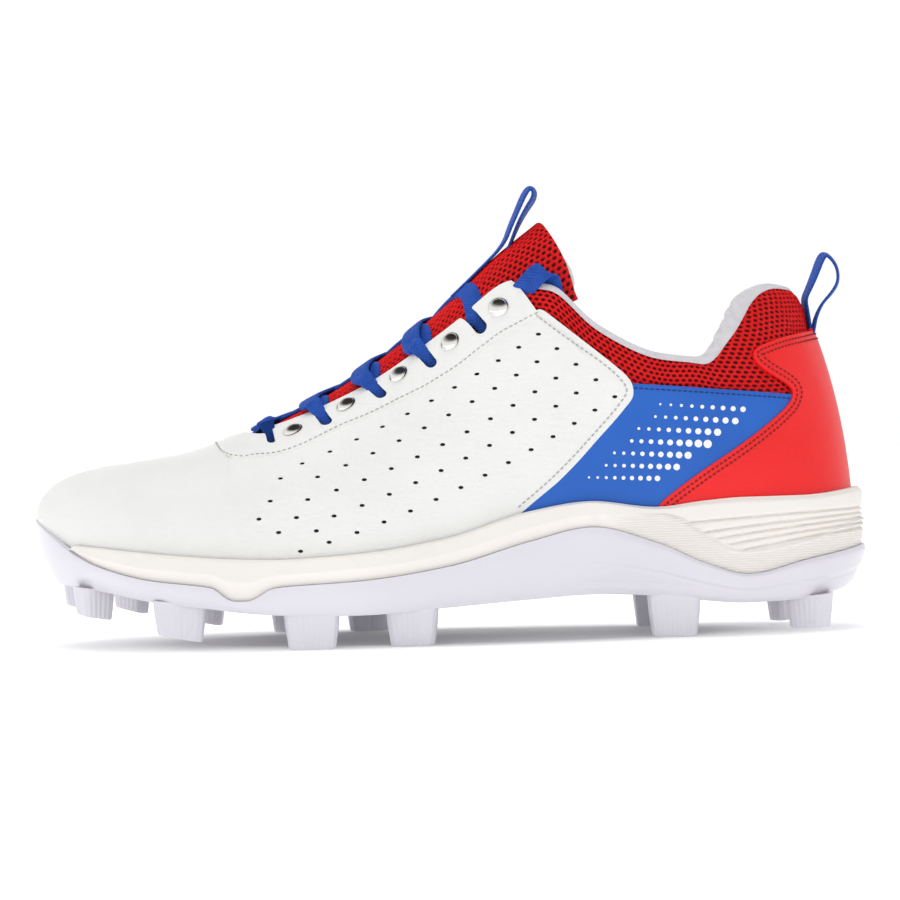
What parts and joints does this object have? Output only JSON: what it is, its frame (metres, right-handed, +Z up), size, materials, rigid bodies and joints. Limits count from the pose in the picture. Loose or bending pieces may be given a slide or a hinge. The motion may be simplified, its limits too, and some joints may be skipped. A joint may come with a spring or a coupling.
{
  "type": "training shoe",
  "caption": "Left low-cut training shoe with moulded studs: white perforated leather, blue side panel, red mesh collar and tongue, red heel counter, flat blue lace.",
  "frame": {"origin": "middle of the outline's box, on the plane that the studs stand on", "axes": "+X from toe to heel, +Y from the lateral to the medial side, +Z up"},
  "size_m": [0.296, 0.102, 0.16],
  "materials": {
    "outsole": "satin moulded TPU",
    "midsole": "matt moulded EVA foam",
    "insole": "brushed foam-backed cloth",
    "upper": "fine grained white leather, sandwich mesh behind",
    "eyestay": "fine grained white leather",
    "side_panel": "smooth coated synthetic",
    "heel_counter": "smooth coated leather",
    "tongue": "open sandwich mesh",
    "lace": "flat tubular weave",
    "loop": "ribbed woven tape",
    "rivet": "polished dome"
  },
  "bodies": {
    "root": {"outsole": "outsole", "midsole": "midsole", "insole": "insole", "upper": "upper", "eyestay": "eyestay", "side_panel_lateral": "side_panel", "side_panel_medial": "side_panel", "heel_counter": "heel_counter", "tongue": "tongue", "lace": "lace", "lace_end_lateral": "lace", "lace_end_medial": "lace", "tongue_loop": "loop", "heel_loop": "loop", "rivet_lateral_1": "rivet", "rivet_lateral_2": "rivet", "rivet_lateral_3": "rivet", "rivet_lateral_4": "rivet", "rivet_lateral_5": "rivet", "rivet_medial_1": "rivet", "rivet_medial_2": "rivet", "rivet_medial_3": "rivet", "rivet_medial_4": "rivet", "rivet_medial_5": "rivet"}
  },
  "joints": []
}
